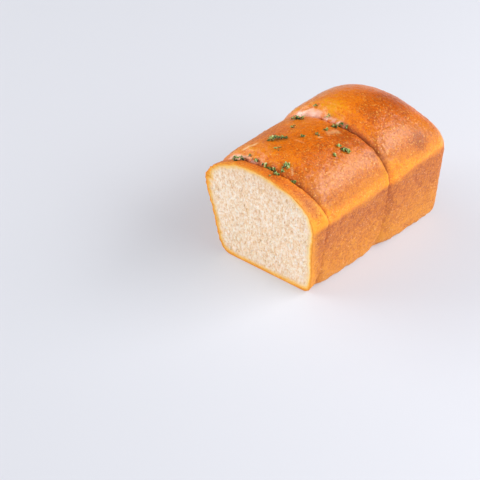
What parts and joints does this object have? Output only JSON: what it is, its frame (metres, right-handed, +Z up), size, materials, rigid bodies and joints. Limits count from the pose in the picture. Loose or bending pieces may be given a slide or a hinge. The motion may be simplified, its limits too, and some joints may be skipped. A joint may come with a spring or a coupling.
{
  "type": "garlic bread",
  "caption": "Rest of a soft garlic pan loaf cut across: glossy golden lobed crust with deep creases, chopped parsley on top and an open white crumb face.",
  "frame": {"origin": "middle of the loaf's box on the surface that it stands on", "axes": "+Y along the loaf from its cut face to its far end, +X to its right side, +Z up through the domed crust"},
  "size_m": [0.11, 0.1792, 0.1156],
  "materials": {
    "crust": "glossy golden to caramel brown baked crust with butter glaze on the dome, matte and finely pitted on the walls that touched the tin",
    "crumb": "matte cream white crumb with fine upright cells",
    "parsley": "chopped green leaf, slightly moist"
  },
  "bodies": {
    "root": {"loaf": "crust"}
  },
  "joints": []
}
